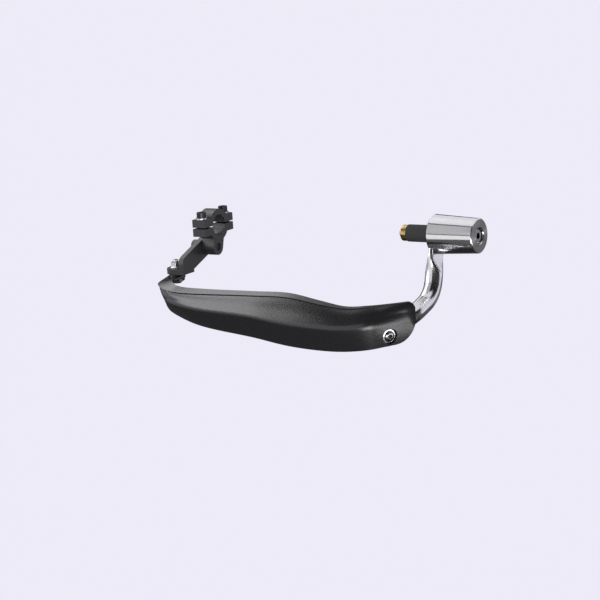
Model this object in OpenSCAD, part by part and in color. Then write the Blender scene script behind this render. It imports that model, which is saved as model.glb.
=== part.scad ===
// Left hand guard for a motorcycle: a moulded shell on a bent support tube.
// The origin is the centre of the weight's inner face, on the weight's axis. +X runs
// outboard along that axis, -Y points forward and +Z points up. All sizes are millimetres.

/* [Bores it fits] */
// Bore of the clamp
bar_d = 22; // [21:0.1:26]
// Bore that the expander swells in
bar_bore_d = 18; // [16:0.1:18.4]

/* [Guard shell] */
// Length of the shell from its outer tip to its inner end
guard_l = 312; // [300:1:324]
// How far the crease stands in front of the weight's axis
guard_reach = 115; // [108:1:122]
// How far the crease lies below the weight's axis
guard_drop = 76; // [72:1:82]
// Height of the upper face at its tallest section
face_h = 27; // [24:0.5:30]
// Height of the lower skirt at its tallest section
skirt_h = 26; // [23:0.5:29]
// Wall thickness of the moulding
shell_wall = 3; // [2.4:0.1:3.6]
// Depth of the groove that sets the rim off from the upper face
groove_depth = 0.9; // [0.5:0.1:1.2]
// Length of the rounding on each side of the crease
crease_soft = 6; // [4:0.5:8]
// Height of the bulge across the upper face
face_bulge = 0.8; // [0:0.1:1.4]

/* [Guard fixings] */
// Distance of the outer screw from the tip, along the crease
outer_screw_along = 31; // [28:0.5:34]
// Drop of the outer screw below the crease
outer_screw_drop = 15.5; // [13:0.5:17]
// Distance of the inner screw from the inner end, along the crease
inner_screw_along = 13; // [12:0.5:16]
// Radius of the moulded boss round each screw
boss_r = 10.5; // [9.5:0.1:12]
// Depth from the shell's face to the floor of a screw's recess
recess_depth = 2.8; // [2:0.1:3.2]
// Depth from the shell's face to the end of the outer boss
boss_depth = 10.6; // [10.2:0.1:11.4]
// Thread diameter of the guard screws
guard_bolt_d = 6; // [5:0.5:6]
// Radius of the boss under the tongue
tongue_boss_r = 8.2; // [7.6:0.1:8.8]
// Height of the boss under the tongue
tongue_boss_h = 6.4; // [6:0.1:8]
// Height of the tongue's flat seat above its skin
tongue_seat = 0.8; // [0.4:0.1:1.5]
// Thickness of the rubber washer behind each boss
damper_t = 1.2; // [0.8:0.1:2]

/* [Support tube] */
// Outside diameter of the tube
tube_d = 18; // [16:0.5:19]
// Wall thickness of the tube
tube_wall = 2; // [1.5:0.1:2.5]
// Thickness of the pressed ends
flat_t = 5; // [4.4:0.1:6]
// Angle of the first leg forward of straight down
leg_lean = 16; // [10:1:22]
// Length of the first leg from the eye to the first bend's corner
leg_l = 62; // [58:0.5:68]
// Length of the last leg from the second bend's corner to the lower hole
foot_l = 37; // [34:0.5:42]
// Radius of the first bend
knee_r = 30; // [26:1:34]
// Radius of the second bend
ankle_r = 38; // [30:1:44]

/* [Bar-end weight] */
// Length of the weight
weight_l = 50; // [46:0.5:60]
// Diameter of the weight at its inner face
weight_d1 = 40; // [38:0.5:46]
// Diameter of the weight at its free end
weight_d2 = 35; // [32:0.5:37]
// Thread diameter of the long screw
long_bolt_d = 8; // [7:0.5:8]
// Length of the long screw below its head
long_bolt_l = 80; // [78:1:88]
// Depth of the screw's head below the end face
head_sink = 1.5; // [0.5:0.1:3]

/* [Expander] */
// Length of the rubber sleeve
plug_l = 30; // [26:0.5:34]
// Gap between the rubber sleeve and the bore round it before it is tightened
plug_gap = 0.25; // [0.1:0.05:0.45]
// Length of the conical nut
cone_l = 14; // [12:0.5:18]

/* [Bar clamp] */
// Width of the clamp along its bore
clamp_w = 16; // [14:0.5:20]
// Wall of the clamp round its bore
clamp_wall = 6; // [5:0.5:8]
// Gap between the clamp's halves
clamp_gap = 1.5; // [1:0.1:2.5]
// Thread diameter of the clamp's two screws
clamp_bolt_d = 6; // [5:0.5:6]
// Thickness of the arm that carries the shell's inner end
arm_t = 6; // [5:0.5:8]
// Half width of the arm
arm_r = 10; // [9:0.5:12]
// Thread diameter of the arm's pivot screw
pivot_bolt_d = 8; // [6:0.5:8]

/* [Fits] */
// Radial gap between a screw and a plain hole
bolt_gap = 0.3; // [0.2:0.05:0.5]
// Radial gap between a screw's thread and its nut
thread_gap = 0.05; // [0.03:0.01:0.1]
// Gap between a pocket and what sits in it
seat_gap = 0.3; // [0.2:0.05:0.6]

/* [Hidden] */

// Smoothness of turned parts and of bores
round_fn = 64;

// Sections of the shell from its tip to its inner end. Each row holds the place
// along the length as a share, the set-back from the reach, the lift above the
// drop, the upper face's height as a share and its lean in degrees, the rim's
// width and slope, and the skirt's height as a share and its lean.
sections = [
    [0,     56,   4.5,  0.59, 8,  1.5,  36, 0.95, 7],
    [0.040, 28,   5,    0.61, 22, 1.5,  36, 0.96, 8],
    [0.083, 10,   3.5,  0.66, 34, 2,    36, 0.97, 14],
    [0.173, 2,    0.5,  0.72, 38, 3,    36, 0.97, 21],
    [0.272, 0,    0,    0.89, 36, 5,    36, 0.98, 24],
    [0.400, 1.5,  2,    1.00, 36, 6,    36, 0.98, 23],
    [0.538, 6,    6,    0.82, 38, 6,    36, 0.94, 22],
    [0.772, 17.5, 6.5,  0.69, 39, 7.5,  34, 0.75, 25],
    [0.904, 31,   6.5,  0.65, 36, 11.5, 20, 0.47, 32],
    [0.958, 49,   6,    0.79, 22, 16,   12, 0.12, 14],
    [0.990, 69,   19,   0.33, 63, 18,   3,  0.12, 0],
    [1,     88,   21.5, 0.26, 68, 18,   0,  0.12, 0]
];
// X of the shell's tip, outboard of the weight's inner face
tip_x = 7;
// Radius of the tip's upper and lower corners
tip_top_r = 8;
tip_low_r = 23;
// Bulge across the skirt
skirt_bulge = 0.4;
// Steps from the tip to the inner end
shell_steps = 64;
// Points along each face and round the crease
face_steps = 5;
crease_steps = 6;
inner_steps = 4;

function unit(v) = v / norm(v);
function turn_z(v, a) = [v.x * cos(a) - v.y * sin(a), v.x * sin(a) + v.y * cos(a), v.z];
function flat_part(v, n) = v - (v * n) * n;
function total(v, i = 0) = i < len(v) ? v[i] + total(v, i + 1) : 0;

// Rows as real sizes: x, y, z of the crease, face height and lean, rim width and
// slope, skirt height and lean
rows = [for (s = sections) [tip_x - s[0] * guard_l, s[1] - guard_reach, s[2] - guard_drop,
    s[3] * face_h, s[4], s[5], s[6], s[7] * skirt_h, s[8]]];
row_n = len(rows);
function plan(r) = [r[0], r[1], 0];
steps_between = [for (i = [0:row_n - 2]) norm(plan(rows[i + 1]) - plan(rows[i]))];
row_at = [for (i = [0:row_n - 1]) i == 0 ? 0 : total([for (j = [0:i - 1]) steps_between[j]])];
crease_l = row_at[row_n - 1];

// A smooth curve through the rows, by distance along the crease
function slope_at(i) = let (a = max(i - 1, 0), b = min(i + 1, row_n - 1))
    (rows[b] - rows[a]) / (row_at[b] - row_at[a]);
function span_of(d, i = 0) = (i >= row_n - 2 || d < row_at[i + 1]) ? i : span_of(d, i + 1);
function row_of(d) = let (i = span_of(d), h = row_at[i + 1] - row_at[i], t = (d - row_at[i]) / h)
    (2 * t ^ 3 - 3 * t ^ 2 + 1) * rows[i] + (t ^ 3 - 2 * t ^ 2 + t) * h * slope_at(i)
    + (3 * t ^ 2 - 2 * t ^ 3) * rows[i + 1] + (t ^ 3 - t ^ 2) * h * slope_at(i + 1);
probe = 0.5;
function along(d) = unit(plan(row_of(min(d + probe, crease_l))) - plan(row_of(max(d - probe, 0))));
function inward(d) = turn_z(along(d), -90);
function place(d, p) = let (r = row_of(d)) [r[0], r[1], r[2]] + p.x * inward(d) + [0, 0, p.y];

function bend(p, q, bulge, t) = let (n = unit([p.y - q.y, q.x - p.x]))
    p + t * (q - p) - 4 * bulge * t * (1 - t) * n;

// The rim's back edge and its width as a vector
function rim_back(r) = [r[3] * tan(r[4]), r[3]];
function rim_span(r) = r[5] * [cos(r[6]), sin(r[6])];
function skirt_edge(r) = [r[7] * tan(r[8]), -r[7]];
function soft_of(brow, skirt) = min(crease_soft, 0.45 * norm(brow), 0.45 * norm(skirt));

// The outer outline of one section from the rim's back edge down to the skirt's edge,
// as distance inward from the crease and height above it
function outline(d) = let (r = row_of(d), lip = rim_back(r), brow = lip - rim_span(r),
        skirt = skirt_edge(r), face_dir = unit(brow), face_in = [face_dir.y, -face_dir.x],
        groove = min(groove_depth, r[5] / 3), soft = soft_of(brow, skirt),
        a = soft * face_dir, b = soft * unit(skirt),
        face_top = brow + groove * face_in - groove * face_dir)
    concat([lip, brow],
        [for (i = [0:face_steps - 1]) bend(face_top, a, face_bulge, i / face_steps)],
        [for (i = [0:crease_steps]) let (t = i / crease_steps) (1 - t) ^ 2 * a + t ^ 2 * b],
        [for (i = [1:face_steps]) bend(b, skirt, min(skirt_bulge, r[7] / 30), i / face_steps)]);

// The inner outline keeps the wall's thickness behind the rim, the face and the skirt
function inner_side(p, q) = let (t = unit(q - p)) [-t.y, t.x];
function inner_corner(p, q, r) = let (m = inner_side(p, q) + inner_side(q, r))
    q + shell_wall * 2 * m / (m * m);
function inner_outline(d) = let (r = row_of(d), lip = rim_back(r), brow = lip - rim_span(r),
        skirt = skirt_edge(r), crease = [0, 0],
        brow_in = inner_corner(lip, brow, crease), crease_in = inner_corner(brow, crease, skirt),
        lip_in = lip + shell_wall * inner_side(lip, brow),
        skirt_in = skirt + shell_wall * inner_side(crease, skirt),
        soft = soft_of(brow_in - crease_in, skirt_in - crease_in),
        a = soft * unit(brow_in - crease_in), b = soft * unit(skirt_in - crease_in))
    concat([skirt_in], [for (i = [inner_steps:-1:0]) let (t = i / inner_steps)
        crease_in + (1 - t) ^ 2 * a + t ^ 2 * b], [brow_in, lip_in]);

function ring_of(d) = let (o = outline(d), q = inner_outline(d), n = len(o), m = len(q))
    [for (p = concat(o, [(o[n - 1] + q[0]) / 2 - [0, shell_wall / 4]], q,
        [(o[0] + q[m - 1]) / 2 + [shell_wall / 6, 0]])) place(d, p)];
ring_at = [for (i = [0:shell_steps]) crease_l * i / shell_steps];

// Triangles between two neighbouring rings of k points each
function skin(k, rings, flip = false) = [for (j = [0:rings - 2], i = [0:k - 1])
    let (a = j * k + i, b = j * k + (i + 1) % k, c = a + k, e = b + k)
    each (flip ? [[a, c, b], [b, c, e]] : [[a, b, c], [b, e, c]])];

// Triangles across the end of a ring whose first n points are the outer outline, always
// taking the shorter of the two ways across the wall
function across(ring, n, i, j) = (i == n - 1 && j == n + 1)
    ? [[n - 1, n, n + 1], [0, len(ring) - 2, len(ring) - 1]]
    : (j == n + 1 || (i < n - 1 && norm(ring[i + 1] - ring[j]) < norm(ring[i] - ring[j - 1])))
    ? concat([[i, i + 1, j]], across(ring, n, i + 1, j))
    : concat([[i, j - 1, j]], across(ring, n, i, j - 1));
function cap(ring, n) = across(ring, n, 0, len(ring) - 2);

// Frame of the outer screw: its point on the shell, its outward axis and an up direction
outer_row = row_of(outer_screw_along);
outer_point = place(outer_screw_along, [outer_screw_drop * tan(outer_row[8]), -outer_screw_drop]);
outer_axis = let (l = outer_row[8]) -inward(outer_screw_along) * cos(l) - [0, 0, sin(l)];

// The inner screw stands upright through the tongue that the rim ends in
inner_row = row_of(crease_l - inner_screw_along);
inner_point = place(crease_l - inner_screw_along, rim_back(inner_row) - rim_span(inner_row) / 2)
    + [0, 0, tongue_seat];
inner_axis = [0, 0, 1];
tongue_r = inner_row[5] / 2;

// Places a child with its Z axis along a direction and its origin at a depth below the point
module at_axis(point, axis, depth = 0, up = [0, 0, 1]) {
    z = unit(axis);
    x = unit(cross(up, z));
    y = cross(z, x);
    o = point - depth * z;
    multmatrix([[x.x, y.x, z.x, o.x], [x.y, y.y, z.y, o.y], [x.z, y.z, z.z, o.z], [0, 0, 0, 1]])
        children();
}

// Shares of the thread's diameter in the button-head screws and the flange nuts
button_head_share = 0.88;
button_h_share = 0.55;
button_flange_share = 1.13;
flange_t_share = 0.2;
flange_rim_share = 0.12;
crown_share = 0.48;
lobe_r_share = 0.46;
lobe_depth_share = 0.41;
nut_flat_share = 1.667;
nut_flange_share = 1.18;
// Shares of the thread's diameter in the socket-head screws
socket_head_share = 0.8125;
socket_flat_share = 0.75;
socket_floor_share = 0.45;
edge_share = 0.06;
recess_r = guard_bolt_d * button_flange_share + 1.4;
sleeve_r = guard_bolt_d / 2 + bolt_gap + 1.2;
nut_h = guard_bolt_d;
outer_foot_depth = boss_depth + damper_t;
outer_nut_depth = outer_foot_depth + flat_t;
inner_nut_rise = damper_t + arm_t;
// Thread left standing beyond a nut
bolt_end = 2.5;

// A flat outline in the YZ plane, extruded along +X from x0
module along_x(x0, w) {
    translate([x0, 0, 0]) rotate([90, 0, 90]) linear_extrude(w) children();
}

// Flats that run into a round end stand this far inside its radius, and so meet it at an edge
flat_step = 0.05;

module ring(r_out, r_in, h) {
    difference() {
        cylinder(r = r_out, h = h, $fn = round_fn);
        translate([0, 0, -1]) cylinder(r = r_in, h = h + 2, $fn = round_fn);
    }
}

// Six-lobed driving recess, opening upward at z = 0
lobe_steps = 36;
lobe_wave = 0.14;
module lobe_recess(r, depth) {
    translate([0, 0, -depth]) linear_extrude(depth + 1)
        polygon([for (i = [0:lobe_steps - 1]) let (a = 360 * i / lobe_steps)
            r * (1 - lobe_wave + lobe_wave * cos(6 * a)) * [cos(a), sin(a)]]);
}

// Flanged button-head screw with its seat at z = 0 and its thread downward
dome_steps = 6;
module button_screw(d, shank) {
    head_r = d * button_head_share;
    head_h = d * button_h_share;
    flange_r = d * button_flange_share;
    flange_t = d * flange_t_share;
    crown_r = head_r * crown_share;
    difference() {
        union() {
            rotate_extrude($fn = round_fn) polygon(concat(
                [[0, 0], [flange_r, 0], [flange_r, d * flange_rim_share], [head_r, flange_t]],
                [for (i = [1:dome_steps]) let (a = 90 * i / dome_steps)
                    [crown_r + (head_r - crown_r) * cos(a), flange_t + (head_h - flange_t) * sin(a)]],
                [[0, head_h]]));
            translate([0, 0, -shank]) cylinder(r = d / 2, h = shank, $fn = round_fn);
        }
        translate([0, 0, head_h]) lobe_recess(d * lobe_r_share, d * lobe_depth_share);
    }
}

// Socket-head screw with its seat at z = 0 and its thread downward
module socket_screw(d, shank) {
    head_r = d * socket_head_share;
    edge = d * edge_share;
    difference() {
        union() {
            rotate_extrude($fn = round_fn)
                polygon([[0, 0], [head_r, 0], [head_r, d - edge], [head_r - edge, d], [0, d]]);
            translate([0, 0, -shank]) cylinder(r = d / 2, h = shank, $fn = round_fn);
        }
        translate([0, 0, d * socket_floor_share])
            cylinder(d = d * socket_flat_share / cos(30), h = d, $fn = 6);
    }
}

module flange_nut(d) {
    difference() {
        union() {
            cylinder(d = d * nut_flat_share / cos(30), h = nut_h, $fn = 6);
            cylinder(r = d * nut_flange_share, h = d * flange_t_share, $fn = round_fn);
        }
        translate([0, 0, -1]) cylinder(r = d / 2 + thread_gap, h = nut_h + 2, $fn = round_fn);
    }
}

// The outer boss joins the wall all round and ends in a flat seat for the tube
module outer_boss() {
    translate([0, 0, -boss_depth])
        cylinder(r = boss_r, h = boss_depth - shell_wall / 2, $fn = round_fn);
}

module outer_bore() {
    translate([0, 0, -recess_depth]) cylinder(r = recess_r, h = recess_depth + boss_r, $fn = round_fn);
    translate([0, 0, -boss_depth - 1])
        cylinder(r = sleeve_r + thread_gap, h = boss_depth + 1, $fn = round_fn);
}

// The tongue's boss stands proud of its skin above and below
module inner_boss() {
    translate([0, 0, -tongue_boss_h])
        cylinder(r = tongue_boss_r, h = tongue_boss_h, $fn = round_fn);
}

// A spot face round the screw's head clears the wall beside the boss
module inner_bore() {
    translate([0, 0, -tongue_boss_h - 1])
        cylinder(r = sleeve_r + thread_gap, h = tongue_boss_h + 2, $fn = round_fn);
    translate([0, 0, -tongue_boss_h - guard_bolt_d])
        cylinder(r = guard_bolt_d * button_flange_share + seat_gap, h = guard_bolt_d, $fn = round_fn);
}

// Rounds the tongue's end about its screw
module tongue_trim() {
    at_axis(inner_point, inner_axis, 0, [0, 1, 0]) difference() {
        translate([-3 * tongue_r, 0, -3 * tongue_r]) cube(6 * tongue_r);
        translate([0, 0, -4 * tongue_r]) cylinder(r = tongue_r, h = 8 * tongue_r, $fn = round_fn);
    }
}

// Takes one of the tip's corners off along a circle, seen along the outer screw's axis
module tip_corner(centre, r, upper) {
    far = 3 * r;
    at_axis(outer_point, outer_axis) difference() {
        translate([centre.x, upper ? centre.y : centre.y - far, -far]) cube([far, far, 2 * far]);
        translate([centre.x, centre.y, -far - 1]) cylinder(r = r, h = 2 * far + 2, $fn = round_fn);
    }
}

// Rounds the tip's corners where the rim and the skirt's edge run out
module tip_trim() {
    side = unit(cross([0, 0, 1], outer_axis));
    rise = cross(outer_axis, side);
    edge = (place(0, [0, 0]) - outer_point) * side;
    high = (place(tip_top_r, rim_back(row_of(tip_top_r))) - outer_point) * rise;
    low = (place(tip_low_r, skirt_edge(row_of(tip_low_r))) - outer_point) * rise;
    tip_corner([edge - tip_top_r, high - tip_top_r], tip_top_r, true);
    tip_corner([edge - tip_low_r, low + tip_low_r], tip_low_r, false);
}

module guard_shell() {
    rings = [for (d = ring_at) ring_of(d)];
    points = [for (r = rings) each r];
    k = len(rings[0]);
    n = len(outline(0));
    last = len(rings) - 1;
    color([0.12, 0.12, 0.13])
    difference() {
        union() {
            difference() {
                polyhedron(points, concat(skin(k, len(rings)),
                    [for (t = cap(rings[0], n)) [t[2], t[1], t[0]]],
                    [for (t = cap(rings[last], n)) t + last * k * [1, 1, 1]]));
                tip_trim();
                tongue_trim();
            }
            at_axis(outer_point, outer_axis) outer_boss();
            at_axis(inner_point, inner_axis, 0, [0, 1, 0]) inner_boss();
        }
        at_axis(outer_point, outer_axis) outer_bore();
        at_axis(inner_point, inner_axis, 0, [0, 1, 0]) inner_bore();
    }
}

module outer_sleeve() {
    color([0.7, 0.7, 0.72]) at_axis(outer_point, outer_axis, boss_depth)
        ring(sleeve_r, guard_bolt_d / 2 + bolt_gap, boss_depth - recess_depth);
}

module inner_sleeve() {
    color([0.7, 0.7, 0.72]) at_axis(inner_point, inner_axis, tongue_boss_h, [0, 1, 0])
        ring(sleeve_r, guard_bolt_d / 2 + bolt_gap, tongue_boss_h);
}

module outer_guard_screw() {
    color([0.8, 0.8, 0.82]) at_axis(outer_point, outer_axis, recess_depth)
        button_screw(guard_bolt_d, outer_nut_depth + nut_h + bolt_end - recess_depth);
}

module inner_guard_screw() {
    color([0.8, 0.8, 0.82]) at_axis(inner_point, -inner_axis, -tongue_boss_h, [0, 1, 0])
        button_screw(guard_bolt_d, tongue_boss_h + inner_nut_rise + nut_h + bolt_end);
}

module outer_damper() {
    color([0.1, 0.1, 0.1]) at_axis(outer_point, outer_axis, outer_foot_depth)
        ring(boss_r - seat_gap, guard_bolt_d / 2 + bolt_gap, damper_t);
}

module inner_damper() {
    color([0.1, 0.1, 0.1]) at_axis(inner_point, inner_axis, 0, [0, 1, 0])
        ring(tongue_boss_r, guard_bolt_d / 2 + bolt_gap, damper_t);
}

module outer_flange_nut() {
    color([0.75, 0.75, 0.77]) at_axis(outer_point, -outer_axis, -outer_nut_depth)
        flange_nut(guard_bolt_d);
}

module inner_flange_nut() {
    color([0.75, 0.75, 0.77]) at_axis(inner_point, inner_axis, -inner_nut_rise, [0, 1, 0])
        flange_nut(guard_bolt_d);
}

// Route of the tube: eye, knee, ankle and foot
eye = [flat_t / 2, 0, 0];
foot = outer_point - (outer_foot_depth + flat_t / 2) * outer_axis;
leg_dir = [0, -sin(leg_lean), -cos(leg_lean)];
knee = eye + leg_l * leg_dir;
foot_dir = unit(flat_part(foot - knee, outer_axis));
ankle = foot - foot_l * foot_dir;
shin_dir = unit(ankle - knee);
// Width of a pressed end: the tube's wall keeps its length round the section
flat_w = flat_t + PI * (tube_d - flat_t) / 2;
// The ends run past their holes by half their width
eye_over = flat_w / 2;
knee_turn = acos(leg_dir * shin_dir);
ankle_turn = acos(shin_dir * foot_dir);
knee_cut = knee_r * tan(knee_turn / 2);
ankle_cut = ankle_r * tan(ankle_turn / 2);
// Length of the pressed part of each end, past the weight's edge at the eye, and of the
// swell back to round
eye_press_l = weight_d1 / 2 + 1;
foot_press_l = 17;
swell_l = 20;

function arc_point(corner, d0, d1, r, turn, t) = let (a = turn * t,
        start = corner - r * tan(turn / 2) * d0,
        side = unit(flat_part(d1, d0)))
    start + r * sin(a) * d0 + r * (1 - cos(a)) * side;
function arc_dir(d0, d1, turn, t) = let (a = turn * t, side = unit(flat_part(d1, d0)))
    cos(a) * d0 + sin(a) * side;

leg_len = leg_l - knee_cut;
shin_len = norm(ankle - knee) - knee_cut - ankle_cut;
foot_len = foot_l - ankle_cut;
knee_len = knee_r * knee_turn * PI / 180;
ankle_len = ankle_r * ankle_turn * PI / 180;
route_l = leg_len + knee_len + shin_len + ankle_len + foot_len;
// Rings along each stretch, with more where the section swells
leg_rings = 12;
knee_rings = 12;
shin_rings = 3;
ankle_rings = 8;
foot_rings = 9;
// Each station: point, direction and distance from the eye
stations = concat(
    [[eye - eye_over * leg_dir, leg_dir, -eye_over]],
    [for (i = [0:leg_rings]) let (s = leg_len * i / leg_rings) [eye + s * leg_dir, leg_dir, s]],
    [for (i = [1:knee_rings]) let (t = i / knee_rings)
        [arc_point(knee, leg_dir, shin_dir, knee_r, knee_turn, t),
        arc_dir(leg_dir, shin_dir, knee_turn, t), leg_len + knee_len * t]],
    [for (i = [1:shin_rings]) let (t = i / shin_rings)
        [knee + (knee_cut + shin_len * t) * shin_dir, shin_dir, leg_len + knee_len + shin_len * t]],
    [for (i = [1:ankle_rings]) let (t = i / ankle_rings)
        [arc_point(ankle, shin_dir, foot_dir, ankle_r, ankle_turn, t),
        arc_dir(shin_dir, foot_dir, ankle_turn, t),
        leg_len + knee_len + shin_len + ankle_len * t]],
    [for (i = [1:foot_rings]) let (t = i / foot_rings)
        [ankle + (ankle_cut + foot_len * t) * foot_dir, foot_dir, route_l - foot_len * (1 - t)]],
    [[foot + eye_over * foot_dir, foot_dir, route_l + eye_over]]);

// The bore opens where the section is this round
hollow_from = 0.35;
function ease(t) = let (c = min(max(t, 0), 1)) c * c * (3 - 2 * c);
// Roundness of the section: 0 in a pressed end, 1 where the tube is round
function roundness(s) = ease((s - eye_press_l) / swell_l)
    * ease((route_l - s - foot_press_l) / swell_l);
// Direction of the section's short axis, turning from the eye's to the foot's between them
function thin_dir(s, dir) = let (t = ease((s - eye_press_l) / (route_l - eye_press_l - foot_press_l)))
    unit(flat_part((1 - t) * [1, 0, 0] + t * outer_axis, dir));
// A section is a slot shape: two half circles of radius b joined by flats
tube_sides = 32;
function slot_ring(c, dir, thin, b, w) = let (wide = cross(dir, thin), q = tube_sides / 2)
    [for (i = [0:tube_sides - 1]) let (right = i < q, a = right
            ? -90 + 180 * i / (q - 1) : 90 + 180 * (i - q) / (q - 1))
        c + ((right ? w - b : b - w) + b * cos(a)) * wide + b * sin(a) * thin];
function tube_ring(st, inset) = let (f = roundness(st[2]),
        b = flat_t / 2 + f * (tube_d - flat_t) / 2 - inset,
        w = flat_w / 2 + f * (tube_d - flat_w) / 2 - inset)
    slot_ring(st[0], st[1], thin_dir(st[2], st[1]), b, w + 0.01);

module tube_solid(list, inset) {
    n = len(list);
    polyhedron([for (st = list) each tube_ring(st, inset)],
        concat(skin(tube_sides, n),
            [[for (i = [tube_sides - 1:-1:0]) i]],
            [[for (i = [0:tube_sides - 1]) (n - 1) * tube_sides + i]]));
}

// Takes the corners off a pressed end, leaving it round about its hole
module end_trim(point, dir, thin) {
    at_axis(point, thin, 0, -dir) difference() {
        translate([-tube_d, 0, -tube_d]) cube([2 * tube_d, 2 * tube_d, 2 * tube_d]);
        translate([0, 0, -tube_d - 1]) cylinder(d = flat_w, h = 2 * tube_d + 2, $fn = round_fn);
    }
}

module support_tube() {
    hollow = [for (st = stations) if (roundness(st[2]) > hollow_from) st];
    color([0.85, 0.85, 0.87])
    difference() {
        tube_solid(stations, 0);
        tube_solid(hollow, tube_wall);
        end_trim(eye, leg_dir, [1, 0, 0]);
        end_trim(foot, -foot_dir, outer_axis);
        at_axis(eye, [1, 0, 0]) translate([0, 0, -flat_t])
            cylinder(r = long_bolt_d / 2 + bolt_gap, h = 2 * flat_t, $fn = round_fn);
        at_axis(foot, outer_axis) translate([0, 0, -flat_t])
            cylinder(r = guard_bolt_d / 2 + bolt_gap, h = 2 * flat_t, $fn = round_fn);
    }
}

washer_t = 1.6;
counterbore_r = long_bolt_d * socket_head_share + 1.7;
counterbore_floor = weight_l - head_sink - long_bolt_d - washer_t;
edge_round = 0.8;
pocket_r = flat_w / 2 + seat_gap;
slot_w = 2 * (pocket_r - flat_step);

module bar_end_weight() {
    color([0.86, 0.86, 0.88])
    difference() {
        rotate([0, 90, 0]) rotate_extrude($fn = round_fn)
            polygon([[0, 0], [weight_d1 / 2 - edge_round, 0], [weight_d1 / 2, edge_round],
                [weight_d2 / 2, weight_l - edge_round], [weight_d2 / 2 - edge_round, weight_l],
                [0, weight_l]]);
        // Pocket for the tube's eye, open towards the leg
        along_x(-1, flat_t + 1) {
            circle(r = pocket_r, $fn = round_fn);
            rotate(-leg_lean) translate([-slot_w / 2, -weight_d1]) square([slot_w, weight_d1]);
        }
        rotate([0, 90, 0]) cylinder(r = long_bolt_d / 2 + bolt_gap, h = weight_l, $fn = round_fn);
        translate([counterbore_floor, 0, 0]) rotate([0, 90, 0])
            cylinder(r = counterbore_r, h = weight_l, $fn = round_fn);
    }
}

module bar_end_washer() {
    color([0.75, 0.75, 0.77]) translate([counterbore_floor, 0, 0]) rotate([0, 90, 0])
        ring(counterbore_r - seat_gap, long_bolt_d / 2 + bolt_gap, washer_t);
}

module bar_end_screw() {
    color([0.6, 0.6, 0.62]) translate([counterbore_floor + washer_t, 0, 0]) rotate([0, 90, 0])
        socket_screw(long_bolt_d, long_bolt_l);
}

// The rubber sleeve has a conical mouth at its inner end that the nut is drawn into
plug_r = bar_bore_d / 2 - plug_gap;
cone_tip_r = long_bolt_d / 2 + 1.8;
cone_big_r = plug_r - 0.6;
cone_taper_l = 8;

module expander_rubber() {
    color([0.1, 0.1, 0.1])
    difference() {
        translate([-plug_l, 0, 0]) rotate([0, 90, 0])
            cylinder(r = plug_r, h = plug_l, $fn = round_fn);
        translate([-plug_l - 1, 0, 0]) rotate([0, 90, 0])
            cylinder(r = long_bolt_d / 2 + bolt_gap, h = plug_l + 2, $fn = round_fn);
        translate([-plug_l, 0, 0]) rotate([0, 90, 0])
            cylinder(r1 = cone_big_r + thread_gap, r2 = cone_tip_r + thread_gap, h = cone_taper_l,
                $fn = round_fn);
    }
}

module expander_cone_nut() {
    color([0.72, 0.62, 0.35]) translate([-plug_l, 0, 0]) rotate([0, 90, 0])
    difference() {
        union() {
            cylinder(r1 = cone_big_r, r2 = cone_tip_r, h = cone_taper_l, $fn = round_fn);
            translate([0, 0, cone_taper_l - cone_l])
                cylinder(r = cone_big_r, h = cone_l - cone_taper_l, $fn = round_fn);
        }
        translate([0, 0, cone_taper_l - cone_l - 1])
            cylinder(r = long_bolt_d / 2 + thread_gap, h = cone_l + 2, $fn = round_fn);
    }
}

// The arm's foot lies on the tongue, and its web rises beside the clamp
foot_z = inner_point.z + damper_t;
arm_x0 = inner_point.x + arm_r;
clamp_x0 = arm_x0 + arm_t;
clamp_x = clamp_x0 + clamp_w / 2;
clamp_r = bar_d / 2 + clamp_wall;
clamp_bolt_y = clamp_r + clamp_bolt_d / 2;
ear_h = clamp_bolt_d * 1.5;
ear_y = clamp_bolt_y + clamp_bolt_d;
// The pivot lies below the clamp's ring
pivot = [-pivot_bolt_d / 2, -(clamp_r + pivot_bolt_d * 0.75)];
lug_wall = pivot_bolt_d * 0.6;
lug_r = pivot_bolt_d / 2 + lug_wall;

module bar_of(p, q, r) {
    a = atan2(q.y - p.y, q.x - p.x);
    translate(p) rotate(a) translate([0, flat_step - r]) square([norm(q - p), 2 * (r - flat_step)]);
    translate(p) circle(r = r, $fn = round_fn);
    translate(q) circle(r = r, $fn = round_fn);
}

module mount_arm() {
    heel = [inner_point.y, foot_z + arm_r];
    color([0.15, 0.15, 0.16])
    difference() {
        union() {
            along_x(arm_x0, arm_t) difference() {
                union() {
                    bar_of(pivot, heel, arm_r);
                    translate([heel.x - arm_r, foot_z]) square([2 * arm_r, arm_r]);
                }
                translate(pivot) circle(r = pivot_bolt_d / 2 + bolt_gap, $fn = round_fn);
            }
            translate([inner_point.x, inner_point.y, foot_z]) {
                cylinder(r = arm_r, h = arm_t, $fn = round_fn);
                translate([0, -arm_r, 0]) cube([arm_r + arm_t / 2, 2 * arm_r, arm_t]);
            }
        }
        translate([inner_point.x, inner_point.y, foot_z - 1])
            cylinder(r = guard_bolt_d / 2 + bolt_gap, h = arm_t + 2, $fn = round_fn);
    }
}

module pivot_washer() {
    color([0.75, 0.75, 0.77]) translate([arm_x0 - washer_t, pivot.x, pivot.y]) rotate([0, 90, 0])
        ring(pivot_bolt_d, pivot_bolt_d / 2 + bolt_gap, washer_t);
}

module pivot_screw() {
    color([0.3, 0.3, 0.32]) translate([arm_x0 - washer_t, pivot.x, pivot.y]) rotate([0, -90, 0])
        socket_screw(pivot_bolt_d, washer_t + arm_t + clamp_w - 1);
}

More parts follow.
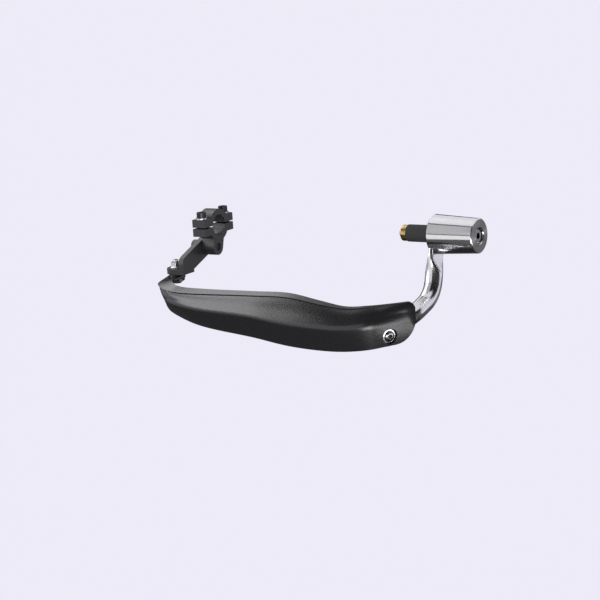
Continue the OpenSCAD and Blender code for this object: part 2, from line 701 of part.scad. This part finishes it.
module clamp_profile(side) {
    difference() {
        union() {
            circle(r = clamp_r, $fn = round_fn);
            translate([-ear_y, side > 0 ? 0 : -ear_h]) square([2 * ear_y, ear_h]);
            if (side < 0) bar_of([pivot.x, pivot.y], [0, -clamp_r / 2], lug_r);
        }
        circle(d = bar_d, $fn = round_fn);
        translate([-2 * clamp_r, side > 0 ? -4 * clamp_r + clamp_gap / 2 : -clamp_gap / 2])
            square([4 * clamp_r, 4 * clamp_r]);
    }
}

module clamp_lower_half() {
    color([0.15, 0.15, 0.16])
    difference() {
        along_x(clamp_x0, clamp_w) clamp_profile(-1);
        for (s = [-1, 1]) translate([clamp_x, s * clamp_bolt_y, -ear_h - 1])
            cylinder(r = clamp_bolt_d / 2 + thread_gap, h = ear_h + 1, $fn = round_fn);
        translate([clamp_x0 - 1, pivot.x, pivot.y]) rotate([0, 90, 0])
            cylinder(r = pivot_bolt_d / 2 + thread_gap, h = clamp_w + 2, $fn = round_fn);
    }
}

module clamp_upper_half() {
    color([0.15, 0.15, 0.16])
    difference() {
        along_x(clamp_x0, clamp_w) clamp_profile(1);
        for (s = [-1, 1]) translate([clamp_x, s * clamp_bolt_y, 0])
            cylinder(r = clamp_bolt_d / 2 + bolt_gap, h = ear_h + 1, $fn = round_fn);
        // Flat seats for the screws' washers
        for (s = [-1, 1]) translate([clamp_x, s * clamp_bolt_y, ear_h])
            cylinder(r = clamp_bolt_d + seat_gap, h = clamp_r, $fn = round_fn);
    }
}

module clamp_screw(s) {
    color([0.3, 0.3, 0.32]) translate([clamp_x, s * clamp_bolt_y, ear_h + washer_t])
        socket_screw(clamp_bolt_d, washer_t + 2 * ear_h - 1);
}

module clamp_front_screw() {
    clamp_screw(-1);
}

module clamp_rear_screw() {
    clamp_screw(1);
}

module clamp_screw_washers() {
    color([0.75, 0.75, 0.77]) for (s = [-1, 1]) translate([clamp_x, s * clamp_bolt_y, ear_h])
        ring(clamp_bolt_d, clamp_bolt_d / 2 + bolt_gap, washer_t);
}

guard_shell();
outer_sleeve();
inner_sleeve();
outer_guard_screw();
inner_guard_screw();
outer_damper();
inner_damper();
support_tube();
outer_flange_nut();
inner_flange_nut();
bar_end_weight();
bar_end_screw();
bar_end_washer();
expander_rubber();
expander_cone_nut();
mount_arm();
pivot_screw();
pivot_washer();
clamp_lower_half();
clamp_upper_half();
clamp_front_screw();
clamp_rear_screw();
clamp_screw_washers();
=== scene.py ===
import bpy, bmesh, math
from mathutils import Matrix, Vector


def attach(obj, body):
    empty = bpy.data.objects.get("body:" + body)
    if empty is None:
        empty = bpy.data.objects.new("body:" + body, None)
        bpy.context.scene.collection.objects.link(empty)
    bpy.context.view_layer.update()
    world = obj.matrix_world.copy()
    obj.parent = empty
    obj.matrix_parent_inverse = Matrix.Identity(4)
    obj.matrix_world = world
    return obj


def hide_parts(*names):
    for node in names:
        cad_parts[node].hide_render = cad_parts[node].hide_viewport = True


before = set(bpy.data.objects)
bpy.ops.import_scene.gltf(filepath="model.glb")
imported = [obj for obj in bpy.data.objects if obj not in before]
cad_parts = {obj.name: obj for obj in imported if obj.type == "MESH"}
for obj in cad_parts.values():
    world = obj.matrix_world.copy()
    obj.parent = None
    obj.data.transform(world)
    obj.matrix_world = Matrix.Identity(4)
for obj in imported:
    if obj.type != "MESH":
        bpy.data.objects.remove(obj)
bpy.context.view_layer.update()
print("frame loaded:", len(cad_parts), "nodes")

mm = 0.001


# camera: angles in degrees and lengths in metres, but for the sensor's width in mm
cameraSet = {
    "azimuth": 29.8,
    "elevation": 10.0,
    "roll": 3.2,                    # the picture leans, so its right side is raised
    "distance": 2.27,
    "pixelsPerMetre": 1000.0,       # at the origin
    "originPixel": (435.2, 233.9),
    "imageSize": 600.0,
    "sensorWidth": 36,
    "clip": (0.05, 60),
}


def makeCamera(s):
    a, e, roll = (math.radians(s[k]) for k in ("azimuth", "elevation", "roll"))
    back = Vector((math.sin(a) * math.cos(e), -math.cos(a) * math.cos(e), math.sin(e)))
    right = Vector((math.cos(a), math.sin(a), 0))
    up = back.cross(right)
    place = back * s["distance"]
    dx = s["imageSize"] / 2 - s["originPixel"][0]
    dy = s["imageSize"] / 2 - s["originPixel"][1]
    across = dx * math.cos(roll) - dy * math.sin(roll)
    down = dx * math.sin(roll) + dy * math.cos(roll)
    target = (right * across - up * down) / s["pixelsPerMetre"]
    zAxis = (place - target).normalized()
    xAxis = (up * math.cos(roll) + right * math.sin(roll)).cross(zAxis).normalized()
    yAxis = zAxis.cross(xAxis)
    data = bpy.data.cameras.new("photoCamera")
    half = s["imageSize"] / 2 / s["pixelsPerMetre"] / s["distance"]
    data.sensor_width = s["sensorWidth"]
    data.lens = data.sensor_width / 2 / half
    data.clip_start, data.clip_end = s["clip"]
    camera = bpy.data.objects.new("photoCamera", data)
    camera.matrix_world = Matrix((xAxis, yAxis, zAxis)).transposed().to_4x4()
    camera.location = place
    bpy.context.collection.objects.link(camera)
    bpy.context.scene.camera = camera


makeCamera(cameraSet)
bpy.context.scene.view_settings.view_transform = "Standard"
print("camera placed")


# studio: a pale floor that runs out into the background, soft boxes, and cards that only
# reflections see, apart from a flag, which also shades
studioSet = {
    "background": (0.847, 0.831, 0.930, 1),
    "paper": (0.92, 0.91, 0.96, 1),
    "worldColour": (1, 1, 1, 1),
    "worldLight": 0.50,
    "floorHeight": -0.62,
    "floorRadius": 9.0,
    "floorCorners": 96,
    "floorFade": (0.15, 0.55),      # the floor runs into the background between these radii
    "softBoxes": [
        # name, place, aims at, width, height, power
        ("frontLeftBox", (-1.37, -0.85, 0.54), (-0.20, -0.09, -0.06), 0.76, 0.98, 8.1),
        ("upperLeftBox", (-1.24, -0.47, 1.09), (-0.20, -0.09, -0.06), 0.46, 0.38, 1.6),
        ("rimBox", (-1.14, 0.21, 1.09), (-0.22, -0.09, -0.05), 0.9, 0.60, 4.6),
        ("outboardBox", (0.74, -0.23, -0.32), (-0.01, -0.10, -0.08), 0.92, 0.22, 2.4),
        ("cornerBox", (0.385, -0.832, -0.385), (-0.04, -0.1, -0.09), 0.62, 0.60, 7.0),
    ],
    "cards": [
        # name, place, faces, width, height, level from black to white
        ("groundCard", (-0.25, -0.35, -0.46), (-0.25, -0.35, 0), 3.0, 2.4, 0.085),
        ("rearGroundCard", (0.55, 1.50, -0.46), (0.55, 1.50, 0), 2.4, 1.3, 0.20),
        ("underCard", (0.10, 0.12, -0.44), (0.10, 0.12, 0), 1.0, 0.5, 0.02),
        ("cameraCard", (0.80, -1.30, 0.58), (0, 0, 0.58), 1.5, 1.55, 0.02),
        ("outboardCard", (1.45, -0.20, 0.60), (0, -0.2, 0.60), 1.5, 1.66, 0.02),
        ("frontCard", (-0.10, -1.42, 1.69), (-0.05, -0.1, -0.07), 4.3, 1.7, 0.02),
        ("horizonCard", (-0.90, -1.75, -0.05), (0, 0, -0.05), 2.4, 1.1, 0.92),
        ("skyCard", (-0.20, 0.85, 2.60), (-0.2, 0.85, 0), 4.2, 2.3, 0.92),
        ("outlineCard", (-0.65, 1.12, -0.14), (0, 0, -0.05), 2.6, 1.2, 0.02),
        ("faceCard", (0.0715, 0.0376, -0.0045), (0.05, 0, 0), 0.052, 0.048, 0.26),
        ("sweepFlag", (0.035, -0.045, -0.073), (0.009, -0.022, -0.048), 0.052, 0.036, 0.10),
        ("weightCard", (-0.032, -0.1046, 0.081), (-0.032, -0.016, 0), 0.085, 0.129, 0.52),
        ("weightLowTrim", (-0.026, -0.1338, 0.0233), (-0.026, -0.016, 0), 0.085, 0.0112, 0.03),
        ("weightTopTrim", (-0.024, -0.051, 0.115), (-0.024, -0.016, 0), 0.085, 0.0125, 0.05),
    ],
}


def aimed(place, aim):
    turn = (Vector(aim) - Vector(place)).to_track_quat("-Z", "Y")
    return Matrix.LocRotScale(Vector(place), turn, None)


def newMaterial(name):
    material = bpy.data.materials.new(name)
    material.use_nodes = True
    material.node_tree.nodes.clear()
    return material, material.node_tree.nodes, material.node_tree.links


def newPiece(name, bm):
    mesh = bpy.data.meshes.new(name)
    bm.to_mesh(mesh)
    bm.free()
    piece = bpy.data.objects.new(name, mesh)
    bpy.context.collection.objects.link(piece)
    return piece


def makeWorld(s):
    # the camera and reflections see the background, and the rest is lit plainly
    world = bpy.data.worlds.new("studio")
    bpy.context.scene.world = world
    world.use_nodes = True
    nodes, links = world.node_tree.nodes, world.node_tree.links
    nodes.clear()
    out = nodes.new("ShaderNodeOutputWorld")
    seen = nodes.new("ShaderNodeBackground")
    seen.inputs["Color"].default_value = s["background"]
    light = nodes.new("ShaderNodeBackground")
    light.inputs["Color"].default_value = s["worldColour"]
    light.inputs["Strength"].default_value = s["worldLight"]
    path = nodes.new("ShaderNodeLightPath")
    either = nodes.new("ShaderNodeMath")
    either.operation = "MAXIMUM"
    links.new(path.outputs["Is Camera Ray"], either.inputs[0])
    links.new(path.outputs["Is Glossy Ray"], either.inputs[1])
    mix = nodes.new("ShaderNodeMixShader")
    links.new(either.outputs[0], mix.inputs[0])
    links.new(light.outputs[0], mix.inputs[1])
    links.new(seen.outputs[0], mix.inputs[2])
    links.new(mix.outputs[0], out.inputs[0])


def makeFloor(s):
    material, nodes, links = newMaterial("floorPaper")
    out = nodes.new("ShaderNodeOutputMaterial")
    paper = nodes.new("ShaderNodeBsdfDiffuse")
    paper.inputs["Color"].default_value = s["paper"]
    glow = nodes.new("ShaderNodeEmission")
    glow.inputs["Color"].default_value = s["background"]
    where = nodes.new("ShaderNodeTexCoord")
    far = nodes.new("ShaderNodeVectorMath")
    far.operation = "LENGTH"
    fade = nodes.new("ShaderNodeMapRange")
    fade.interpolation_type = "SMOOTHSTEP"
    start, end = s["floorFade"]
    fade.inputs["From Min"].default_value = start
    fade.inputs["From Max"].default_value = end
    mix = nodes.new("ShaderNodeMixShader")
    links.new(where.outputs["Object"], far.inputs[0])
    links.new(far.outputs["Value"], fade.inputs["Value"])
    links.new(fade.outputs[0], mix.inputs[0])
    links.new(paper.outputs[0], mix.inputs[1])
    links.new(glow.outputs[0], mix.inputs[2])
    links.new(mix.outputs[0], out.inputs[0])
    bm = bmesh.new()
    bmesh.ops.create_circle(bm, cap_ends=True, radius=s["floorRadius"], segments=s["floorCorners"])
    floor = newPiece("floor", bm)
    floor.location.z = s["floorHeight"]
    floor.data.materials.append(material)


def makeSoftBox(name, place, aim, width, height, power):
    data = bpy.data.lights.new(name, "AREA")
    data.shape = "RECTANGLE"
    data.size, data.size_y, data.energy = width, height, power
    box = bpy.data.objects.new(name, data)
    box.matrix_world = aimed(place, aim)
    box.visible_camera = False
    bpy.context.collection.objects.link(box)


def makeCard(name, place, aim, width, height, level):
    material, nodes, links = newMaterial(name + "Cloth")
    out = nodes.new("ShaderNodeOutputMaterial")
    cloth = nodes.new("ShaderNodeEmission")
    cloth.inputs["Color"].default_value = (level, level, level, 1)
    links.new(cloth.outputs[0], out.inputs[0])
    bm = bmesh.new()
    bmesh.ops.create_grid(bm, x_segments=1, y_segments=1, size=0.5)
    bmesh.ops.scale(bm, verts=bm.verts, vec=(width, height, 1))
    card = newPiece(name, bm)
    card.matrix_world = aimed(place, aim)
    card.data.materials.append(material)
    card.visible_camera = card.visible_diffuse = card.visible_transmission = False
    card.visible_shadow = name.endswith("Flag")


makeWorld(studioSet)
makeFloor(studioSet)
for row in studioSet["softBoxes"]:
    makeSoftBox(*row)
for row in studioSet["cards"]:
    makeCard(*row)
print("studio built")


# finishes, all from Object coordinates: noise of the scale "patch" goes from colour to fleck and
# through the range "rough", "level" is the strength of the gloss, "pull" is how far a brushed
# gloss is drawn out, and a bump layer is (kind, scale, strength, depth)
finishSet = {
    "mouldedPlastic": {
        "slot": "shell_plastic",
        "colour": (0.0070, 0.0070, 0.0080, 1), "fleck": (0.0110, 0.0110, 0.0122, 1),
        "metal": 0, "rough": (0.22, 0.31), "patch": 600, "level": 0.65,
        "bumps": [("grain", 520, 1.0, 0.00007), ("grain", 1400, 1.0, 0.00002)],
    },
    "polishedTube": {
        "slot": "bright_tube",
        "colour": (0.76, 0.76, 0.775, 1), "fleck": (0.70, 0.70, 0.72, 1),
        "metal": 1, "rough": (0.15, 0.22), "patch": 90, "level": 0.5,
        "bumps": [("grain", 240, 0.03, 0.00012), ("grain", 3800, 0.05, 0.00002)],
    },
    "turnedSide": {
        "slot": "bright_weight",
        "colour": (0.80, 0.80, 0.815, 1), "fleck": (0.74, 0.74, 0.76, 1),
        "metal": 1, "rough": (0.12, 0.18), "patch": 120, "level": 0.5,
        "brush": "along", "pull": 0.75,
        "bumps": [("turned", 2400, 0.12, 0.00004)],
    },
    "turnedFace": {
        "slot": "bright_weight",
        "colour": (0.72, 0.72, 0.745, 1), "fleck": (0.20, 0.20, 0.215, 1),
        "metal": 1, "rough": (0.24, 0.36), "patch": 1000, "level": 0.5,
        "brush": "outwards", "pull": 0.85,
        "bumps": [("turned", 620, 0.9, 0.00022), ("turned", 2600, 0.5, 0.00008)],
    },
    "satinSteel": {
        "slot": "steel_fastener",
        "colour": (0.66, 0.66, 0.68, 1), "fleck": (0.56, 0.56, 0.585, 1),
        "metal": 1, "rough": (0.16, 0.28), "patch": 420, "level": 0.5,
        "bumps": [("grain", 5200, 0.15, 0.00003)],
    },
    # the guard screws' domes: the same steel painted darker, a painted dark reflection
    "domePaintedReflection": {
        "slot": "steel_fastener",
        "colour": (0.30, 0.30, 0.31, 1), "fleck": (0.24, 0.24, 0.25, 1),
        "metal": 1, "rough": (0.14, 0.22), "patch": 420, "level": 0.5,
        "bumps": [("grain", 5200, 0.15, 0.00003)],
    },
    # black oxide for the dark screws, and painted shade in the steel screws' sockets
    "blackOxideAndSocketShade": {
        "slot": "dark_fastener",
        "colour": (0.055, 0.055, 0.060, 1), "fleck": (0.035, 0.035, 0.040, 1),
        "metal": 1, "rough": (0.26, 0.38), "patch": 420, "level": 0.5,
        "bumps": [("grain", 4800, 0.2, 0.00003)],
    },
    "softRubber": {
        "slot": "black_rubber",
        "colour": (0.016, 0.016, 0.016, 1), "fleck": (0.023, 0.023, 0.022, 1),
        "metal": 0, "rough": (0.62, 0.78), "patch": 300, "level": 0.35,
        "bumps": [("grain", 2600, 0.4, 0.00006)],
    },
    "machinedBrass": {
        "slot": "brass_nut",
        "colour": (0.66, 0.48, 0.20, 1), "fleck": (0.56, 0.38, 0.14, 1),
        "metal": 1, "rough": (0.18, 0.30), "patch": 260, "level": 0.5,
        "bumps": [("turned", 3000, 0.35, 0.00005)],
    },
    "powderCoat": {
        "slot": "black_metal",
        "colour": (0.018, 0.018, 0.020, 1), "fleck": (0.026, 0.026, 0.028, 1),
        "metal": 0, "rough": (0.34, 0.46), "patch": 200, "level": 0.5,
        "bumps": [("grain", 1100, 0.35, 0.00008)],
    },
}
noiseDetail = {"patch": 4, "bump": 3}


def makeFinish(name, s):
    material, nodes, links = newMaterial(name)
    out = nodes.new("ShaderNodeOutputMaterial")
    shader = nodes.new("ShaderNodeBsdfPrincipled")
    shader.inputs["Metallic"].default_value = s["metal"]
    shader.inputs["Specular IOR Level"].default_value = s["level"]
    links.new(shader.outputs[0], out.inputs[0])
    where = nodes.new("ShaderNodeTexCoord").outputs["Object"]

    def noiseAt(vector, scale, detail):
        noise = nodes.new("ShaderNodeTexNoise")
        noise.inputs["Scale"].default_value = scale
        noise.inputs["Detail"].default_value = detail
        links.new(vector, noise.inputs["Vector"])
        return noise.outputs["Fac"]

    # the place along the turned parts' axis and the distance from it, so that marks run round it
    split = nodes.new("ShaderNodeSeparateXYZ")
    links.new(where, split.inputs[0])
    side = nodes.new("ShaderNodeCombineXYZ")
    links.new(split.outputs["Y"], side.inputs["Y"])
    links.new(split.outputs["Z"], side.inputs["Z"])
    radius = nodes.new("ShaderNodeVectorMath")
    radius.operation = "LENGTH"
    links.new(side.outputs[0], radius.inputs[0])
    turned = nodes.new("ShaderNodeCombineXYZ")
    links.new(split.outputs["X"], turned.inputs["X"])
    links.new(radius.outputs["Value"], turned.inputs["Y"])

    if "brush" in s:
        # cutting marks run round the axis, so gloss is drawn out across them
        shader.inputs["Anisotropic"].default_value = s["pull"]
        along = nodes.new("ShaderNodeCombineXYZ")
        along.inputs["X"].default_value = 1
        pulled = along if s["brush"] == "along" else side
        links.new(pulled.outputs[0], shader.inputs["Tangent"])

    patchAt = turned.outputs[0] if "brush" in s else where
    patch = noiseAt(patchAt, s["patch"], noiseDetail["patch"])
    colour = nodes.new("ShaderNodeMix")
    colour.data_type = "RGBA"
    colour.inputs["A"].default_value = s["colour"]
    colour.inputs["B"].default_value = s["fleck"]
    links.new(patch, colour.inputs["Factor"])
    links.new(colour.outputs["Result"], shader.inputs["Base Color"])
    rough = nodes.new("ShaderNodeMapRange")
    rough.inputs["To Min"].default_value, rough.inputs["To Max"].default_value = s["rough"]
    links.new(patch, rough.inputs["Value"])
    links.new(rough.outputs[0], shader.inputs["Roughness"])
    normal = None
    for kind, scale, strength, depth in s["bumps"]:
        bump = nodes.new("ShaderNodeBump")
        bump.inputs["Strength"].default_value = strength
        bump.inputs["Distance"].default_value = depth
        bumpAt = turned.outputs[0] if kind == "turned" else where
        links.new(noiseAt(bumpAt, scale, noiseDetail["bump"]), bump.inputs["Height"])
        if normal:
            links.new(normal, bump.inputs["Normal"])
        normal = bump.outputs[0]
    links.new(normal, shader.inputs["Normal"])
    return material


finishes = {name: makeFinish(name, s) for name, s in finishSet.items()}
print("finishes made:", len(finishes))


# what every mesh goes by; angles are in degrees
meshSet = {
    "sameVertex": 0.001 * mm,   # points this near each other are one
    "flat": 0.5,                # faces that lean less than this are joined into one
    "sharp": 30,                # edges are bevelled or creased from here on
    "shadingStep": 8,           # and shaded sharp from this much above that
    "quadShape": 80,            # how far the corners of two joined triangles may be from square
}


def pieceName(node):
    first, *rest = node.split("_")
    return first + "".join(word.capitalize() for word in rest)


def settle(piece, node, finish, *moreFinishes):
    for name in (finish, *moreFinishes):
        piece.data.materials.append(finishes[name])
    # large faces lead the normals, so flats stay flat beside a bevel
    evening = piece.modifiers.new("evening", "WEIGHTED_NORMAL")
    evening.keep_sharp = True
    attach(piece, "root")
    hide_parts(node)


def sharpEdges(bm, degrees=meshSet["sharp"]):
    limit = math.radians(degrees)
    return [e for e in bm.edges if len(e.link_faces) != 2 or e.calc_face_angle(0) >= limit]


def shadeByAngle(bm, degrees=meshSet["sharp"]):
    for face in bm.faces:
        face.smooth = True
    for edge in bm.edges:
        edge.smooth = True
    for edge in sharpEdges(bm, degrees + meshSet["shadingStep"]):
        edge.smooth = False


def bevelEdges(bm, edges, width, segments=2):
    bmesh.ops.bevel(bm, geom=edges, offset=width, offset_type="OFFSET", affect="EDGES",
                    segments=segments, profile=0.5, material=-1, clamp_overlap=True)


def joinFlats(bm):
    limit = math.radians(meshSet["flat"])
    bmesh.ops.dissolve_limit(bm, angle_limit=limit, verts=bm.verts, edges=bm.edges)


def meshOf(node):
    bm = bmesh.new()
    bm.from_mesh(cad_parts[node].data)
    bmesh.ops.remove_doubles(bm, verts=bm.verts, dist=meshSet["sameVertex"])
    return bm


# pieces made from the frame's own shapes: edge is a bevel's width in mm, levels is how often the
# piece is subdivided
copySet = {
    "guard_shell": {"finish": "mouldedPlastic", "levels": 1},
    "support_tube": {"finish": "polishedTube", "sharp": 35, "levels": 1},
    "outer_sleeve": {"finish": "satinSteel"},
    "inner_sleeve": {"finish": "satinSteel"},
    "outer_damper": {"finish": "softRubber", "edge": 0.2},
    "inner_damper": {"finish": "softRubber", "edge": 0.2},
    "outer_flange_nut": {"finish": "satinSteel", "edge": 0.2},
    "inner_flange_nut": {"finish": "satinSteel", "edge": 0.2},
    "bar_end_washer": {"finish": "satinSteel", "edge": 0.15},
    "expander_rubber": {"finish": "softRubber", "edge": 0.3},
    "expander_cone_nut": {"finish": "machinedBrass", "edge": 0.25},
    "mount_arm": {"finish": "powderCoat", "edge": 0.5},
    "pivot_washer": {"finish": "satinSteel", "edge": 0.15},
    "clamp_lower_half": {"finish": "powderCoat", "edge": 0.5},
    "clamp_upper_half": {"finish": "powderCoat", "edge": 0.5},
    "clamp_screw_washers": {"finish": "satinSteel", "edge": 0.15},
}


def copyNode(node, s):
    bm = meshOf(node)
    sharp = s.get("sharp", meshSet["sharp"])
    if "edge" in s:
        joinFlats(bm)
        bevelEdges(bm, sharpEdges(bm, sharp), s["edge"] * mm)
    if "levels" in s:
        bmesh.ops.join_triangles(bm, faces=bm.faces, angle_face_threshold=math.radians(sharp),
                                 angle_shape_threshold=math.radians(meshSet["quadShape"]))
        crease = bm.edges.layers.float.new("crease_edge")
        for edge in sharpEdges(bm, sharp):
            edge[crease] = 1
    shadeByAngle(bm, sharp)
    piece = newPiece(pieceName(node), bm)
    if "levels" in s:
        rounding = piece.modifiers.new("rounding", "SUBSURF")
        rounding.levels = rounding.render_levels = s["levels"]
    settle(piece, node, s["finish"])


for node, s in copySet.items():
    copyNode(node, s)
print("pieces made:", len(copySet))


# the weight: rounded rims, a turned end face and a polished side
weightSet = {
    "node": "bar_end_weight",
    "finishes": ("turnedSide", "turnedFace"),
    "length": 50 * mm,
    "endDepth": 1 * mm,                 # rims within this of the end are the end's own
    "rimRadii": (16 * mm, 18 * mm),     # the outer rim lies between these
    "rimBevel": 0.25 * mm,
    "rimSegments": 3,
    "boreRadius": 8.2 * mm,
    "boreSlack": 0.1 * mm,
    "boreBevel": 0.55 * mm,
    "boreSegments": 1,
    "faceDepth": 0.01 * mm,             # the end face lies within this of the end
    "faceNormal": 0.99,                 # and points outboard by at least this
}


def makeWeight(s):
    bm = meshOf(s["node"])
    joinFlats(bm)

    def edgesAtEnd(low, high):
        return [e for e in sharpEdges(bm) if all(
            v.co.x > s["length"] - s["endDepth"] and low < math.hypot(v.co.y, v.co.z) < high
            for v in e.verts)]

    bore = edgesAtEnd(s["boreRadius"] - s["boreSlack"], s["boreRadius"] + s["boreSlack"])
    bevelEdges(bm, bore, s["boreBevel"], s["boreSegments"])
    bevelEdges(bm, edgesAtEnd(*s["rimRadii"]), s["rimBevel"], s["rimSegments"])
    for face in bm.faces:
        centre = face.calc_center_median()
        if face.normal.x > s["faceNormal"] and centre.x > s["length"] - s["faceDepth"]:
            face.material_index = s["finishes"].index("turnedFace")
    shadeByAngle(bm)
    settle(newPiece(pieceName(s["node"]), bm), s["node"], *s["finishes"])


makeWeight(weightSet)
print("weight made")


# screws: the head keeps its shape and a real thread is wound at the other end
screwSet = {
    "diameterToPitch": {6: 1.0, 8: 1.25},
    "threadDepth": 0.61,                # of the pitch
    "crest": (0.44, 0.56),              # of the pitch, where the ridge's flat top starts and ends
    "stepsPerTurn": 24,
    "spareTurns": 2,                    # wound past the ends and then cut off
    "turnsJoin": 0.002 * mm,
    "cutSlack": 0.0005 * mm,            # a point this near a cut lies on it
    "edge": 0.12 * mm,
    "socketRadius": 0.44,               # of the diameter; the faces inside it are the socket, painted dark as painted shade
    # the head's other finishes: the dome's painted dark reflection and the socket's painted shade
    "headFinishes": ("domePaintedReflection", "blackOxideAndSocketShade"),
    "paintedDomeIndex": 1,
    "socketShadeIndex": 2,
    "flanged": ("outer_guard_screw", "inner_guard_screw"),
    "screws": {
        # node: finish, a point on the axis, the way from tip to head, diameter, threaded length
        "outer_guard_screw": ("satinSteel", (-7.56, -86.23, -86.51), (0.864, -0.484, -0.140), 6, 12),
        "inner_guard_screw": ("satinSteel", (-294.591, -38.509, -47.361), (0, 0, -1), 6, 12),
        "bar_end_screw": ("satinSteel", (0, 0, 0), (1, 0, 0), 8, 22),
        "pivot_screw": ("blackOxideAndSocketShade", (-280, -4, -23), (-1, 0, 0), 8, 14),
        "clamp_front_screw": ("blackOxideAndSocketShade", (-270.591, -20, 0), (0, 0, 1), 6, 12),
        "clamp_rear_screw": ("blackOxideAndSocketShade", (-270.591, 20, 0), (0, 0, 1), 6, 12),
    },
}
# shares of the diameter, but for the last two
flangeSet = {
    "shoulder": 0.2,
    "rimRadius": 1.1,
    "seatRadius": 0.95,
    "rimRise": 0.8,                     # of the shoulder
    "seatDepth": 0.3 * mm,              # the rim's lower edge lies within this of the seat
}


def fromAxis(point):
    return math.hypot(point.x, point.y)


def cutOff(bm, level, way, slack):
    # what lies past a level on the axis goes, and the cut is closed
    cut = bmesh.ops.bisect_plane(bm, geom=bm.verts[:] + bm.edges[:] + bm.faces[:], dist=slack,
                                 plane_co=(0, 0, level), plane_no=(0, 0, way), clear_outer=True)
    ring = [e for e in cut["geom_cut"] if isinstance(e, bmesh.types.BMEdge)]
    bmesh.ops.contextual_create(bm, geom=ring)


def windThread(s, diameter, tip, length):
    # one turn's ridge is wound up the axis, and its turns join
    pitch = s["diameterToPitch"][diameter] * mm
    crest = diameter / 2 * mm
    root = crest - s["threadDepth"] * pitch
    bm = bmesh.new()
    outline = [(root, 0), *((crest, up) for up in s["crest"]), (root, 1)]
    verts = [bm.verts.new((r, 0, tip + (up - 1) * pitch)) for r, up in outline]
    edges = [bm.edges.new(pair) for pair in zip(verts, verts[1:])]
    turns = math.ceil(length / pitch) + s["spareTurns"]
    bmesh.ops.spin(bm, geom=verts + edges, cent=(0, 0, 0), axis=(0, 0, 1),
                   angle=math.tau * turns, dvec=(0, 0, pitch / s["stepsPerTurn"]),
                   steps=turns * s["stepsPerTurn"], use_merge=False)
    bmesh.ops.remove_doubles(bm, verts=bm.verts, dist=s["turnsJoin"])
    cutOff(bm, tip, -1, s["cutSlack"])
    cutOff(bm, tip + length, 1, s["cutSlack"])
    for v in bm.verts:
        # the first turns run out in a chamfer
        widest = root + v.co.z - tip
        radius = fromAxis(v.co)
        if radius > widest:
            v.co.x, v.co.y = v.co.x * widest / radius, v.co.y * widest / radius
    bmesh.ops.recalc_face_normals(bm, faces=bm.faces)
    return bm


def flattenFlange(bm, diameter, paintedDomeIndex, s):
    # the flange's rim is raised to just below its shoulder, and the dome above it is painted darker,
    # a painted dark reflection
    shares = (s[k] for k in ("shoulder", "rimRadius", "seatRadius"))
    shoulder, rimRadius, seatRadius = (share * diameter * mm for share in shares)
    wide = [v for v in bm.verts if fromAxis(v.co) > seatRadius]
    seat = min(v.co.z for v in wide)
    for v in wide:
        if fromAxis(v.co) > rimRadius and v.co.z > seat + s["seatDepth"]:
            v.co.z = seat + s["rimRise"] * shoulder
    for face in bm.faces:
        centre = face.calc_center_median()
        if centre.z > seat + shoulder and fromAxis(centre) < seatRadius:
            face.material_index = paintedDomeIndex


def makeScrew(node, s, finish, point, way, diameter, length):
    bm = meshOf(node)
    turn = Vector(way).to_track_quat("Z", "Y").to_matrix().to_4x4()
    toWorld = Matrix.Translation(Vector(point) * mm) @ turn
    bm.transform(toWorld.inverted())
    tip = min(v.co.z for v in bm.verts)
    threadEnd = tip + length * mm
    joinFlats(bm)
    bevelEdges(bm, [e for e in sharpEdges(bm) if e.verts[0].co.z > threadEnd], s["edge"])
    cutOff(bm, threadEnd, -1, s["cutSlack"])
    thread = windThread(s, diameter, tip, length * mm)
    mesh = bpy.data.meshes.new("thread")
    thread.to_mesh(mesh)
    thread.free()
    bm.from_mesh(mesh)
    bpy.data.meshes.remove(mesh)
    # the socket's faces take the dark finish: painted shade in the recess
    for face in bm.faces:
        centre = face.calc_center_median()
        if centre.z > threadEnd and fromAxis(centre) < s["socketRadius"] * diameter * mm:
            face.material_index = s["socketShadeIndex"]
    if node in s["flanged"]:
        flattenFlange(bm, diameter, s["paintedDomeIndex"], flangeSet)
    bm.transform(toWorld)
    shadeByAngle(bm)
    settle(newPiece(pieceName(node), bm), node, finish, *s["headFinishes"])


for node, row in screwSet["screws"].items():
    makeScrew(node, screwSet, *row)
print("screws made:", len(screwSet["screws"]))
